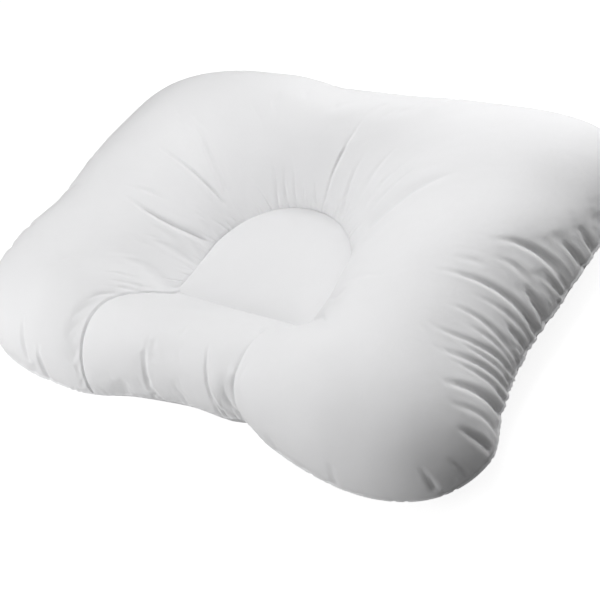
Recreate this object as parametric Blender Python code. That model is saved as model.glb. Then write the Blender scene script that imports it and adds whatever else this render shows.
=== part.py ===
"""Cervical pillow: one filled cloth body with a sunken D-shaped head pad, a neck roll along the
near long side between two curved seams, and four fat corner lobes.

Metres, +Z up. The origin is on the table under the middle of the pillow. +X runs along the long
side and the neck roll lies on the -Y side. The body is a loft: spokes run from the seam round the
edge, over the crest, to the seam round the head pad, and then on to the middle of the pad. The same
spokes run under the pillow. The tables below give the sections and the folds by name.
"""

import math
from collections import namedtuple

import bmesh
import bpy
import numpy as np
from mathutils import Vector
from mathutils.bvhtree import BVHTree

MM = 0.001

# Head pad: a D with its straight side towards the neck roll.
PAD_HALF_WIDTH = 80 * MM
PAD_NEAR_Y = -76 * MM
PAD_ARCH_Y = -14 * MM
PAD_FAR_Y = 61 * MM
PAD_CORNER_R = 9 * MM
PAD_TOP_Z = 47 * MM
PAD_CROWN = 2.5 * MM
PAD_RISE_OVER = 14 * MM
PAD_MIDDLE = np.array([0.0, (PAD_NEAR_Y + PAD_FAR_Y) / 2])

# Edge seam: the joined panels stand out as a narrow ridge.
EDGE_RIDGE_OUT = 3 * MM
EDGE_RIDGE_HALF = 3.5 * MM

# Underside.
UNDER_ROUND = 58 * MM
UNDER_ROUND_SHARE = 0.32
UNDER_START_TURN = 0.5
UNDER_CHANNEL_UP = 7 * MM
UNDER_CHANNEL_SIDE = 14 * MM
# Rings of the channel, from its side to its middle: how far off, as a share of the side, and how high.
UNDER_CHANNEL = ((1.0, 0.0), (0.5, 0.5), (0.0, 1.0))
UNDER_FLAT_AT = 0.45

# Rings of the loft.
OUTER_RINGS = 9
INNER_RINGS = 10
UNDER_RINGS = 6
PAD_RINGS = (0.94, 0.80, 0.58, 0.30)

OUTER_POWER = 0.9

# Sections of the right half, from the middle of the neck roll round to the middle of the far side.
# x, y: the edge seam. seam_z: its height. crest_z: the highest point of the section, crest_at: how
# far in it lies, as a share of the way to the pad seam. pad_at: where the section meets the pad seam,
# as a share of that seam. foot: how softly it comes down to the pad. dip: how far the pad's seam is
# drawn in below the pad. bow: how far the section bows sideways. spokes: how many up to the next row.
Section = namedtuple("Section", "name x y seam_z crest_z crest_at pad_at foot dip bow spokes")
SECTIONS = (
    Section("roll middle", 0, -179, 32, 93, 0.44, 0.000, 3.0, 0.3, 0, 5),
    Section("roll shoulder", 62, -181, 32, 93, 0.44, 0.100, 3.0, 0.3, 8, 4),
    Section("roll seam", 101, -184, 32, 84, 0.44, 0.150, 3.0, 0.6, 18, 4),
    Section("near lobe start", 138, -192, 34, 101, 0.42, 0.165, 3.0, 1.2, 15, 4),
    Section("near lobe", 192, -201, 36, 110, 0.42, 0.182, 2.9, 2, 10, 5),
    Section("near corner", 265, -184, 36, 111, 0.43, 0.205, 2.3, 2.8, 4, 4),
    Section("near side", 291, -142, 37, 111, 0.42, 0.228, 1.9, 3.5, 0, 4),
    Section("side tuck start", 291, -95, 38, 112, 0.41, 0.252, 1.6, 4.5, 0, 5),
    Section("waist", 283, -38, 39, 112, 0.41, 0.285, 1.5, 5, 0, 5),
    Section("side tuck end", 285, 30, 40, 110, 0.41, 0.325, 1.6, 5.5, 0, 4),
    Section("far side", 291, 92, 41, 108, 0.42, 0.358, 1.7, 5, 0, 4),
    Section("far corner side", 290, 152, 41, 107, 0.43, 0.385, 1.7, 5, 0, 4),
    Section("far corner", 264, 190, 41, 107, 0.43, 0.410, 1.7, 5, 0, 5),
    Section("far lobe", 190, 204, 42, 111, 0.43, 0.440, 1.7, 5, 0, 5),
    Section("far shoulder", 95, 200, 43, 116, 0.42, 0.470, 1.7, 5, 0, 5),
    Section("far middle", 0, 196, 44, 119, 0.42, 0.500, 1.7, 5, 0, 0),
)

# The filling is uneven: how far one side's section stands off the even shape.
Uneven = namedtuple("Uneven", "name side x y crest_z bow")
UNEVEN = (
    Uneven("roll shoulder", "left", 0, -9, 0, 0),
    Uneven("roll seam", "left", -2, -16, 8, 0),
    Uneven("roll shoulder", "right", -14, 2, 2, -8),
    Uneven("roll seam", "right", -32, 8, 13, -15),
    Uneven("near lobe start", "right", -23, 0, 2, -12),
    Uneven("near lobe start", "left", 0, -12, 0, 0),
    Uneven("near lobe", "right", 0, -5, 0, 0),
    Uneven("near lobe", "left", 3, -1, -2, 0),
    Uneven("near corner", "right", 2, -3, 0, 0),
    Uneven("near corner", "left", 2, 5, -2, 0),
    Uneven("near side", "left", -2, 2, 1, 0),
    Uneven("side tuck start", "left", -4, 0, 2, 0),
    Uneven("near side", "right", 5, 0, 0, 0),
    Uneven("side tuck start", "right", -4, -3, 0, 0),
    Uneven("waist", "right", -2, 0, 0, 0),
    Uneven("side tuck end", "right", 4, 0, 0, 0),
    Uneven("far side", "right", 5, 2, 2, 0),
    Uneven("far corner side", "right", 4, 5, 6, 0),
    Uneven("far corner", "right", 4, 6, 6, 0),
    Uneven("far lobe", "right", 0, 3, 0, 0),
    Uneven("far shoulder", "right", 0, -1, -1, 0),
    Uneven("side tuck end", "left", -2, 0, 0, 0),
    Uneven("far side", "left", 2, 0, -1, 0),
    Uneven("far corner side", "left", 7, 0, -2, 0),
    Uneven("far corner", "left", 6, -5, 0, 0),
    Uneven("far lobe", "left", 0, 2, 2, 0),
    Uneven("far shoulder", "left", 0, 7, 4, 0),
)

# Main folds, as soft troughs in the top. Each runs in plan from (x1, y1) to (x2, y2), bows sideways
# by bow, is as deep as depth and reaches half_width to each side of its line.
Fold = namedtuple("Fold", "name x1 y1 x2 y2 bow half_width depth")
FOLDS = (
    Fold("roll crease left", -35, -134, -27, -180, 0, 9, 3),
    Fold("roll crease middle", 33, -138, 50, -180, 2, 9, 3),
    Fold("pad crease far left", -172, 54, -85, 32, 2, 10, 4),
    Fold("pad crease left", -161, -15, -84, -11, -8, 11, 5),
    Fold("pad crease corner", -120, -118, -84, -93, 3, 10, 3),
    Fold("pad crease far right", 55, 139, 21, 66, 3, 9, 3),
    Fold("pad crease right", 174, 78, 92, 35, -1, 13, 5),
    Fold("edge tuck 1", 240, 19, 289, 31, 5, 10, 4),
    Fold("edge tuck 2", 213, -29, 287, -19, 4, 10, 5),
    Fold("edge tuck 3", 234, -56, 286, -53, 5, 9, 4),
    Fold("edge tuck 4", 238, -86, 286, -69, -2, 10, 4),
    Fold("edge tuck 5", 259, -120, 290, -100, -1, 10, 6),
    Fold("left edge tuck 1", -236, 36, -288, 28, 2, 10, 4),
    Fold("left edge tuck 2", -226, -18, -287, -25, -3, 10, 5),
    Fold("left edge tuck 3", -240, -78, -290, -70, 2, 10, 4),
    Fold("far edge tuck 1", -18, 165, -24, 196, 2, 10, 3),
    Fold("far edge tuck 2", 46, 165, 52, 197, -2, 10, 3),
    Fold("lobe tuck left", -184, -170, -178, -200, 0, 9, 3),
)
FOLD_POINTS = 9
FOLD_END = 0.22
FOLDS_ABOVE = 24.5 * MM

# The two seams at the ends of the neck roll, sewn down into the filling: right, then left.
ROLL_SEAM_DEPTHS = (5 * MM, 7 * MM)
ROLL_SEAM_HALF_WIDTH = 12 * MM


def clear_scene():
    for item in list(bpy.data.objects):
        bpy.data.objects.remove(item, do_unlink=True)


# The column of full_round's array with each section's place on the pad seam.
PAD_AT = 5


def full_round():
    """The sections of the whole pillow, the left half mirrored, as one array of numbers."""
    off = {(row.name, row.side): row[2:] for row in UNEVEN}
    rows = []
    for row in SECTIONS:
        dx, dy, dz, more_bow = off.get((row.name, "right"), (0, 0, 0, 0))
        count = row.spokes or SECTIONS[-2].spokes
        rows.append(
            [row.x + dx, row.y + dy, row.seam_z, row.crest_z + dz]
            + [row.crest_at, row.pad_at, row.foot, row.dip, row.bow + more_bow, count]
        )
    for index in range(len(SECTIONS) - 2, 0, -1):
        row = SECTIONS[index]
        dx, dy, dz, more_bow = off.get((row.name, "left"), (0, 0, 0, 0))
        count = SECTIONS[index - 1].spokes
        rows.append(
            [-row.x + dx, row.y + dy, row.seam_z, row.crest_z + dz]
            + [row.crest_at, 1 - row.pad_at, row.foot, row.dip, -(row.bow + more_bow), count]
        )
    return np.array(rows, float)


def smooth_between(values, step, wrap):
    """A smooth closed curve through the values of one column, read at the spokes."""
    count = len(values)
    spans = np.array(step, float)
    values = np.array(values, float)
    before = np.roll(values, 1)
    after = np.roll(values, -1)
    before[0] -= wrap
    after[-1] += wrap
    slope_in = (values - before) / np.roll(spans, 1)
    slope_out = (after - values) / spans
    tangent = (slope_in * spans + slope_out * np.roll(spans, 1)) / (spans + np.roll(spans, 1))
    read = []
    for index in range(count):
        span = spans[index]
        for k in range(int(span)):
            t = k / span
            a, b = values[index], after[index]
            m, n = tangent[index] * span, tangent[(index + 1) % count] * span
            read.append(
                (2 * t**3 - 3 * t**2 + 1) * a
                + (t**3 - 2 * t**2 + t) * m
                + (3 * t**2 - 2 * t**3) * b
                + (t**3 - t**2) * n
            )
    return np.array(read)


def pad_outline(shares):
    """Points of the D, at shares of its length counted from the middle of its straight side."""
    r = PAD_CORNER_R
    half = []
    for t in np.linspace(0, 1, 12):
        half.append(((PAD_HALF_WIDTH - r) * t, PAD_NEAR_Y))
    for t in np.linspace(0, math.pi / 2, 8)[1:]:
        x = PAD_HALF_WIDTH - r + r * math.sin(t)
        half.append((x, PAD_NEAR_Y + r - r * math.cos(t)))
    for t in np.linspace(0, 1, 10)[1:]:
        y = PAD_NEAR_Y + r + (PAD_ARCH_Y - PAD_NEAR_Y - r) * t
        half.append((PAD_HALF_WIDTH, y))
    for t in np.linspace(0, math.pi / 2, 40)[1:]:
        y = PAD_ARCH_Y + (PAD_FAR_Y - PAD_ARCH_Y) * math.sin(t)
        half.append((PAD_HALF_WIDTH * math.cos(t), y))
    line = np.array(half + [(-x, y) for x, y in half[-2::-1]])
    length = np.append(0, np.cumsum(np.hypot(*np.diff(line, axis=0).T)))
    length /= length[-1]
    shares = np.asarray(shares) % 1.0
    return np.stack([np.interp(shares, length, line[:, 0]), np.interp(shares, length, line[:, 1])], 1)


def spokes():
    """One row of values for each spoke."""
    table = full_round()
    steps = table[:, -1]
    columns = range(table.shape[1] - 1)
    column = [smooth_between(table[:, k], steps, 1.0 if k == PAD_AT else 0.0) for k in columns]
    edge = np.stack(column[:2], 1) * MM
    return {
        "edge": edge,
        "seam_z": column[2] * MM,
        "crest_z": column[3] * MM,
        "crest_at": column[4],
        "pad": pad_outline(column[PAD_AT]),
        "foot": column[6],
        "dip": column[7] * MM,
        "bow": column[8] * MM,
    }


def along(rib, share):
    """Plan positions at a share of the way from the edge seam (0) to the pad seam (1)."""
    edge, pad = rib["edge"], rib["pad"]
    way = pad - edge
    length = np.hypot(way[:, 0], way[:, 1])
    side = np.stack([-way[:, 1], way[:, 0]], 1) / length[:, None]
    share = np.broadcast_to(share, length.shape)
    lift = 4 * share * (1 - share)
    return edge + way * share[:, None] - side * (rib["bow"] * lift)[:, None]


def ring(plan, height):
    height = np.broadcast_to(height, plan.shape[:1])
    return np.concatenate([plan, height[:, None]], 1)


def top_rings(rib):
    """Rings from just above the edge seam over the crest to the pad seam."""
    rings = []
    rise = rib["crest_z"] - rib["seam_z"] - EDGE_RIDGE_HALF
    for t in np.linspace(0, math.pi / 2, OUTER_RINGS + 1):
        share = rib["crest_at"] * (1 - math.cos(t))
        height = rib["seam_z"] + EDGE_RIDGE_HALF + rise * math.sin(t) ** OUTER_POWER
        rings.append(ring(along(rib, share), height))
    pad_seam_z = PAD_TOP_Z - rib["dip"]
    for t in np.linspace(0, math.pi / 2, INNER_RINGS + 1)[1:]:
        share = rib["crest_at"] + (1 - rib["crest_at"]) * math.sin(t)
        height = pad_seam_z + (rib["crest_z"] - pad_seam_z) * max(math.cos(t), 0.0) ** rib["foot"]
        rings.append(ring(along(rib, share), height))
    return rings


def pad_rings(rib):
    """Rings of the head pad, from beside its seam inwards."""
    way = rib["pad"] - PAD_MIDDLE
    reach = np.hypot(way[:, 0], way[:, 1])
    rings = []
    for share in PAD_RINGS:
        sunk = rib["dip"] * np.exp((share - 1) * reach / PAD_RISE_OVER)
        rings.append(ring(PAD_MIDDLE + way * share, PAD_TOP_Z - sunk + PAD_CROWN * (1 - share**2)))
    centre = np.array([*PAD_MIDDLE, PAD_TOP_Z + PAD_CROWN])
    return rings, centre


def edge_ring(rib):
    edge = rib["edge"]
    out = edge / np.hypot(edge[:, 0], edge[:, 1])[:, None]
    return ring(edge + out * EDGE_RIDGE_OUT, rib["seam_z"])


def under_rings(rib):
    """Rings from just below the edge seam, round the underside, to the channel under the pad."""
    way = rib["pad"] - rib["edge"]
    length = np.hypot(way[:, 0], way[:, 1])
    reach = np.minimum(UNDER_ROUND / length, UNDER_ROUND_SHARE)
    rings = []
    first = UNDER_START_TURN
    for t in np.linspace(first, math.pi / 2, UNDER_RINGS):
        height = (rib["seam_z"] - EDGE_RIDGE_HALF) * (1 - math.sin(t)) / (1 - math.sin(first))
        rings.append(ring(along(rib, reach * (1 - math.cos(t) / math.cos(first))), height))
    rings.append(ring(along(rib, reach + (1 - reach) * UNDER_FLAT_AT), 0.0))
    for off, up in UNDER_CHANNEL:
        rings.append(ring(along(rib, 1 - off * UNDER_CHANNEL_SIDE / length), up * UNDER_CHANNEL_UP))
    inwards = PAD_MIDDLE - rib["pad"]
    depth = np.hypot(inwards[:, 0], inwards[:, 1])[:, None]
    for off, up in UNDER_CHANNEL[-2::-1]:
        plan = rib["pad"] + inwards * off * UNDER_CHANNEL_SIDE / depth
        rings.append(ring(plan, up * UNDER_CHANNEL_UP))
    rings.append(ring(rib["pad"] + inwards * (1 - UNDER_FLAT_AT), 0.0))
    centre = np.array([*PAD_MIDDLE, 0.0])
    return rings, centre


def loft(rings, first, last):
    """A closed mesh through the rings, with a point at each end."""
    mesh = bmesh.new()
    loops = [[mesh.verts.new(point) for point in points] for points in rings]
    count = len(loops[0])
    for one, two in zip(loops, loops[1:]):
        for k in range(count):
            j = (k + 1) % count
            mesh.faces.new((one[k], two[k], two[j], one[j]))
    for centre, loop in ((first, loops[0]), (last, loops[-1])):
        tip = mesh.verts.new(centre)
        for k in range(count):
            mesh.faces.new((tip, loop[k], loop[(k + 1) % count]))
    bmesh.ops.recalc_face_normals(mesh, faces=mesh.faces)
    return mesh


def fold_line(fold):
    """Points along a fold in plan, with the share of its depth that each one has."""
    start = np.array([fold.x1, fold.y1], float) * MM
    end = np.array([fold.x2, fold.y2], float) * MM
    way = end - start
    side = np.array([-way[1], way[0]]) / math.hypot(*way)
    points = []
    for t in np.linspace(0, 1, FOLD_POINTS):
        plan = start + way * t + side * (fold.bow * MM * 4 * t * (1 - t))
        fade = min(1.0, t / FOLD_END, 0.35 + (1 - t) / FOLD_END)
        points.append((plan, math.sin(fade * math.pi / 2)))
    return points


def roll_seams(top):
    """The two sections that carry the roll's seams, as lines of points with a depth each."""
    before = [row.name for row in SECTIONS].index("roll seam")
    right = sum(row.spokes for row in SECTIONS[:before])
    lines = []
    for spoke, depth in zip((right, len(top[0]) - right), ROLL_SEAM_DEPTHS):
        points = [Vector(points[spoke]) for points in top[1:]]
        fades = [min(1.0, 0.5 + k / 6, (len(points) - 1 - k) / 3) for k in range(len(points))]
        lines.append((list(zip(points, fades)), ROLL_SEAM_HALF_WIDTH, depth))
    return lines


def on_top(tree, fold):
    """The fold's line laid on the top of the pillow."""
    line = []
    for plan, fade in fold_line(fold):
        hit = tree.ray_cast(Vector((plan[0], plan[1], 1)), Vector((0, 0, -1)))[0]
        if hit is not None:
            line.append((hit, fade))
    return line


def press_folds(mesh, top):
    """Pushes the top in along each fold, deepest on its line and fading out to both sides."""
    mesh.normal_update()
    tree = BVHTree.FromBMesh(mesh)
    pressed = [(on_top(tree, fold), fold.half_width * MM, fold.depth * MM) for fold in FOLDS]
    pressed += roll_seams(top)
    places = [(vertex, vertex.co.copy(), vertex.normal.copy()) for vertex in mesh.verts]
    depth = {vertex: 0.0 for vertex in mesh.verts}
    for line, reach, deep in pressed:
        for (a, fade_a), (b, fade_b) in zip(line, line[1:]):
            for vertex, co, normal in places:
                t = min(max((co - a).dot(b - a) / (b - a).length_squared, 0), 1)
                off = (co - a.lerp(b, t)).length / reach
                if off < 1 and co.z > FOLDS_ABOVE:
                    share = (1 + math.cos(math.pi * off)) / 2 * (fade_a + (fade_b - fade_a) * t)
                    depth[vertex] = max(depth[vertex], share * deep)
    for vertex, co, normal in places:
        vertex.co = co - normal * depth[vertex]


def centre(mesh):
    """Moves the body so that the middle of its outline lies over the origin."""
    points = np.array([vertex.co for vertex in mesh.verts])
    middle = (points.min(axis=0) + points.max(axis=0)) / 2
    bmesh.ops.translate(mesh, verts=mesh.verts, vec=(-middle[0], -middle[1], 0))


def cotton():
    material = bpy.data.materials.new("white cotton")
    material.use_nodes = True
    shader = material.node_tree.nodes["Principled BSDF"]
    shader.inputs["Base Color"].default_value = (0.80, 0.80, 0.81, 1)
    shader.inputs["Roughness"].default_value = 0.9
    shader.inputs["Metallic"].default_value = 0.0
    return material


def build():
    clear_scene()
    rib = spokes()
    top = top_rings(rib)
    pad, pad_centre = pad_rings(rib)
    under, under_centre = under_rings(rib)
    rings = pad[::-1] + top[::-1] + [edge_ring(rib)] + under
    mesh = loft(rings, pad_centre, under_centre)
    press_folds(mesh, top)
    centre(mesh)
    data = bpy.data.meshes.new("pillow")
    mesh.to_mesh(data)
    mesh.free()
    data.materials.append(cotton())
    data.shade_smooth()
    body = bpy.data.objects.new("pillow", data)
    group = bpy.data.collections.new("cervical pillow")
    bpy.context.scene.collection.children.link(group)
    group.objects.link(body)


build()
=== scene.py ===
# %% [markdown]
# # A stuffed neck pillow in white cotton
#
# The real thing is two cut panels of close-woven cotton, joined by one seam round the edge and
# filled with loose fibre. On top, a D-shaped head pad is sewn down low in the middle, and two curved
# seams shut off a neck roll along one long side. The filling makes four fat lobes, and the seams hold
# it back, so the cloth gathers along every one of them. The CAD solid holds the sizes; this script
# gives the cloth its finer shape and its finish.

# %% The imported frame
import math
from collections import namedtuple

import bpy
import numpy as np
from mathutils import Matrix, Vector, noise
from mathutils.bvhtree import BVHTree


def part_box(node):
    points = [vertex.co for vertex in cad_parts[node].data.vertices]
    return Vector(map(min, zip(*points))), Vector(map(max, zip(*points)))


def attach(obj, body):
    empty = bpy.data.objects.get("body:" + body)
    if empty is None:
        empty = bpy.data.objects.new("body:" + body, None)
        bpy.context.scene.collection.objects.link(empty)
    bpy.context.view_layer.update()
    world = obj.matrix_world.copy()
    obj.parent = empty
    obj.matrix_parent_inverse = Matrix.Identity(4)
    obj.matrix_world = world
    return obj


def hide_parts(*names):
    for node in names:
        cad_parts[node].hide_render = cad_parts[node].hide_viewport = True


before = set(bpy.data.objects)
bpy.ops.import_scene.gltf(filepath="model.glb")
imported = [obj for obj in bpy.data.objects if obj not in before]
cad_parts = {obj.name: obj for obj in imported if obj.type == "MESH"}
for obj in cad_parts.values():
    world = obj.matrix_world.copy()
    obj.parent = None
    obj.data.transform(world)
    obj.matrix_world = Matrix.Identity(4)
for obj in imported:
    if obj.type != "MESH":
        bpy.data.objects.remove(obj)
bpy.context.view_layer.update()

CAD_LOW, CAD_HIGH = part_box("pillow")
print("CAD box in mm:", [round(1000 * (b - a)) for a, b in zip(CAD_LOW, CAD_HIGH)])

# %% [markdown]
# ## The sizes of the pillow
#
# A pillow like this is measured at its seams: where the edge seam runs, how high the filling stands
# over it, and where the head pad is sewn. One way would be to copy the CAD mesh and subdivide it, but
# its seams are only a few faces wide. So the same short tables are read again here, with far more
# spokes, and the result lies in the same place as the solid.

# %% Sizes of the head pad
MM = 0.001

PAD_HALF_WIDTH = 80 * MM
PAD_NEAR_Y = -76 * MM
PAD_ARCH_Y = -14 * MM
PAD_FAR_Y = 61 * MM
PAD_CORNER_R = 9 * MM
PAD_TOP_Z = 47 * MM
print("the head pad lies", round(PAD_TOP_Z / MM), "mm up and is", round(2 * PAD_HALF_WIDTH / MM), "mm wide")

# %% Sections of the right half
# In mm, from the middle of the neck roll round to the far middle.
# x, y, seam_z: the edge seam. crest_z: the top of the section, crest_at: its share of the way in to
# the pad seam. pad_at: where it meets the pad seam, as a share of that seam. foot: how softly it comes
# down to the pad. dip: how deep the pad seam is drawn in below the pad. bow: how far the section
# bows sideways. spokes: how many CAD spokes up to the next row.
Section = namedtuple("Section", "name x y seam_z crest_z crest_at pad_at foot dip bow spokes")
SECTIONS = (
    Section("roll middle", 0, -179, 32, 93, 0.44, 0.000, 3.0, 0.3, 0, 5),
    Section("roll shoulder", 62, -181, 32, 93, 0.44, 0.100, 3.0, 0.3, 8, 4),
    Section("roll seam", 101, -184, 32, 84, 0.44, 0.150, 3.0, 0.6, 18, 4),
    Section("near lobe start", 138, -192, 34, 101, 0.42, 0.165, 3.0, 1.2, 15, 4),
    Section("near lobe", 192, -201, 36, 110, 0.42, 0.182, 2.9, 2, 10, 5),
    Section("near corner", 265, -184, 36, 111, 0.43, 0.205, 2.3, 2.8, 4, 4),
    Section("near side", 291, -142, 37, 111, 0.42, 0.228, 1.9, 3.5, 0, 4),
    Section("side tuck start", 291, -95, 38, 112, 0.41, 0.252, 1.6, 4.5, 0, 5),
    Section("waist", 283, -38, 39, 112, 0.41, 0.285, 1.5, 5, 0, 5),
    Section("side tuck end", 285, 30, 40, 110, 0.41, 0.325, 1.6, 5.5, 0, 4),
    Section("far side", 291, 92, 41, 108, 0.42, 0.358, 1.7, 5, 0, 4),
    Section("far corner side", 290, 152, 41, 107, 0.43, 0.385, 1.7, 5, 0, 4),
    Section("far corner", 264, 190, 41, 107, 0.43, 0.410, 1.7, 5, 0, 5),
    Section("far lobe", 190, 204, 42, 111, 0.43, 0.440, 1.7, 5, 0, 5),
    Section("far shoulder", 95, 200, 43, 116, 0.42, 0.470, 1.7, 5, 0, 5),
    Section("far middle", 0, 196, 44, 119, 0.42, 0.500, 1.7, 5, 0, 0),
)
NAMES = [row.name for row in SECTIONS]
print(len(SECTIONS), "sections, from the", NAMES[0], "to the", NAMES[-1])

# %% Uneven sides
# The filling is uneven: how far one side's section stands off the even shape, in mm.
Uneven = namedtuple("Uneven", "name side x y crest_z bow")
UNEVEN = (
    Uneven("roll shoulder", "left", 0, -9, 0, 0),
    Uneven("roll seam", "left", -2, -16, 8, 0),
    Uneven("roll shoulder", "right", -14, 2, 2, -8),
    Uneven("roll seam", "right", -32, 8, 13, -15),
    Uneven("near lobe start", "right", -23, 0, 2, -12),
    Uneven("near lobe start", "left", 0, -12, 0, 0),
    Uneven("near lobe", "right", 0, -5, 0, 0),
    Uneven("near lobe", "left", 3, -1, -2, 0),
    Uneven("near corner", "right", 2, -3, 0, 0),
    Uneven("near corner", "left", 2, 5, -2, 0),
    Uneven("near side", "left", -2, 2, 1, 0),
    Uneven("side tuck start", "left", -4, 0, 2, 0),
    Uneven("near side", "right", 5, 0, 0, 0),
    Uneven("side tuck start", "right", -4, -3, 0, 0),
    Uneven("waist", "right", -2, 0, 0, 0),
    Uneven("side tuck end", "right", 4, 0, 0, 0),
    Uneven("far side", "right", 5, 2, 2, 0),
    Uneven("far corner side", "right", 4, 5, 6, 0),
    Uneven("far corner", "right", 4, 6, 6, 0),
    Uneven("far lobe", "right", 0, 3, 0, 0),
    Uneven("far shoulder", "right", 0, -1, -1, 0),
    Uneven("side tuck end", "left", -2, 0, 0, 0),
    Uneven("far side", "left", 2, 0, -1, 0),
    Uneven("far corner side", "left", 7, 0, -2, 0),
    Uneven("far corner", "left", 6, -5, 0, 0),
    Uneven("far lobe", "left", 0, 2, 2, 0),
    Uneven("far shoulder", "left", 0, 7, 4, 0),
)
print(len(UNEVEN), "places where one side differs from the other")

# %% How the cloth behaves
# One row for each section, as shares. lip: of the edge seam's full lip. loose: of the most that the
# filling may move the cloth.
Cloth = namedtuple("Cloth", "lip loose")
ON_ROLL, ON_LOBE, AT_SIDE, AT_FAR = Cloth(0.2, 0.5), Cloth(0.8, 0.6), Cloth(1, 1), Cloth(0.6, 0.25)
BEHAVIOUR = 3 * (ON_ROLL,) + 3 * (ON_LOBE,) + 6 * (AT_SIDE,) + 4 * (AT_FAR,)
print("loose all the way:", [name for name, cloth in zip(NAMES, BEHAVIOUR) if cloth.loose == 1])

# %% [markdown]
# ## Spokes
#
# Think of the pillow as a wheel. Each spoke starts at the edge seam, climbs over the filling, drops to
# the seam of the head pad, and the same spoke runs back underneath. A smooth closed curve through each
# column of the table gives every spoke its own numbers, so the outline never shows a corner that the
# table did not ask for. The spokes lie evenly, but crowd towards the roll's two seams, where the cloth
# turns sharply from one to the next.

# %% Reading a column the whole way round
# FINER: how many spokes the cover has for each one of the CAD solid. SEWN_SPANS: the spans that start at
# a roll seam.
FINER = 6
WHOLE_WAY_ROUND = {"pad_at": 1.0}
MIRRORED = {"x": -1, "bow": -1}
ROLL_SEAM = NAMES.index("roll seam")
SEWN_SPANS = (ROLL_SEAM, 2 * len(SECTIONS) - 2 - ROLL_SEAM)
CROWD_AT_SEAM = 1.5


def full_round(column):
    """One column of the tables for the whole pillow, with the left half mirrored."""
    if column in Cloth._fields:
        half = [getattr(row, column) for row in BEHAVIOUR]
        return np.array(half + half[-2:0:-1], float)
    off = {(row.name, row.side): getattr(row, column, 0) for row in UNEVEN}
    values = [getattr(row, column) + off.get((row.name, "right"), 0) for row in SECTIONS]
    for row in SECTIONS[-2:0:-1]:
        value, extra = getattr(row, column), off.get((row.name, "left"), 0)
        if column == "pad_at":
            value = 1 - value
        if column == "bow":
            extra = -extra
        values.append(value * MIRRORED.get(column, 1) + extra)
    return np.array(values, float)


def steps_round():
    """How many fine spokes lie between one section and the next, all the way round."""
    half = [row.spokes for row in SECTIONS[:-1]]
    return FINER * np.array(half + half[::-1])


def shares_of(span, number):
    """How far along its span each spoke lies: even, but crowded towards a roll seam."""
    t = np.arange(span) / span
    if number in SEWN_SPANS:
        t = t**CROWD_AT_SEAM
    if number + 1 in SEWN_SPANS:
        t = 1 - (1 - t) ** CROWD_AT_SEAM
    return t


def smooth_round(column):
    """A smooth closed curve through a column, read at every spoke."""
    values, spans = full_round(column), steps_round()
    wrap = WHOLE_WAY_ROUND.get(column, 0.0)
    before, after = np.roll(values, 1), np.roll(values, -1)
    before[0] -= wrap
    after[-1] += wrap
    spans_before = np.roll(spans, 1)
    tangent = (values - before) / spans_before * spans + (after - values) / spans * spans_before
    tangent /= spans + spans_before
    read = []
    rows = zip(values, after, tangent, np.roll(tangent, -1), spans)
    for number, (a, b, m, n, span) in enumerate(rows):
        t = shares_of(span, number)
        read.append((2 * t**3 - 3 * t**2 + 1) * a + (t**3 - 2 * t**2 + t) * m * span)
        read[-1] += (3 * t**2 - 2 * t**3) * b + (t**3 - t**2) * n * span
    return np.concatenate(read)


print("spokes in each span:", steps_round().tolist())

# %% The D of the head pad
TURN_POINTS = 60
STRAIGHT_POINTS = 20


def pad_outline(shares):
    """Points of the D, at shares of its length counted from the middle of its straight side."""
    r, turn = PAD_CORNER_R, np.linspace(0, math.pi / 2, TURN_POINTS)
    across = np.linspace(0, PAD_HALF_WIDTH - r, STRAIGHT_POINTS)
    up = np.linspace(PAD_NEAR_Y + r, PAD_ARCH_Y, STRAIGHT_POINTS)
    x = [across, PAD_HALF_WIDTH - r + r * np.sin(turn), 0 * up + PAD_HALF_WIDTH]
    y = [0 * across + PAD_NEAR_Y, PAD_NEAR_Y + r - r * np.cos(turn), up]
    x.append(PAD_HALF_WIDTH * np.cos(turn))
    y.append(PAD_ARCH_Y + (PAD_FAR_Y - PAD_ARCH_Y) * np.sin(turn))
    half = np.stack([np.concatenate(x), np.concatenate(y)], 1)
    line = np.concatenate([half, half[-2::-1] * (-1, 1)])
    length = np.append(0, np.cumsum(np.hypot(*np.diff(line, axis=0).T)))
    shares = np.asarray(shares) % 1.0 * length[-1]
    return np.stack([np.interp(shares, length, line[:, k]) for k in (0, 1)], 1)


PAD = pad_outline(smooth_round("pad_at"))
print("the D is", (np.ptp(PAD, axis=0) / MM).round(), "mm across")

# %% Every spoke's own numbers
EDGE = np.stack([smooth_round("x"), smooth_round("y")], 1) * MM
SEAM_Z = smooth_round("seam_z") * MM
CREST_Z = smooth_round("crest_z") * MM
CREST_AT = smooth_round("crest_at")
FOOT = smooth_round("foot")
DIP = smooth_round("dip") * MM
PAD_SEAM_Z = PAD_TOP_Z - DIP
BOW = smooth_round("bow") * MM
LIP_SHARE = smooth_round("lip")
LOOSE = smooth_round("loose")
WAY = PAD - EDGE
WAY_LENGTH = np.hypot(WAY[:, 0], WAY[:, 1])
SPOKES = len(EDGE)
print(SPOKES, "spokes,", round(float(WAY_LENGTH.max() / MM)), "mm at the longest")

# %% [markdown]
# ## The panels as rings
#
# A ring joins the same place on every spoke. The rings run from the middle of the head pad, out over
# the filling to the edge seam, and back underneath. They crowd together near the seams, where the
# cloth turns sharply. Towards the two middles the spokes would crowd together as well, so there a ring
# takes only every second, fourth, eighth or sixteenth spoke.

# %% Rings of the top panel
OUTER_RINGS = 48
INNER_RINGS = 40
OUTER_POWER = 0.9
CROWDING = 1.6


def raised(plan, height):
    """Points in space from places in plan and their height."""
    height = np.broadcast_to(height, plan.shape[:1])
    return np.concatenate([plan, height[:, None]], 1)


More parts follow.
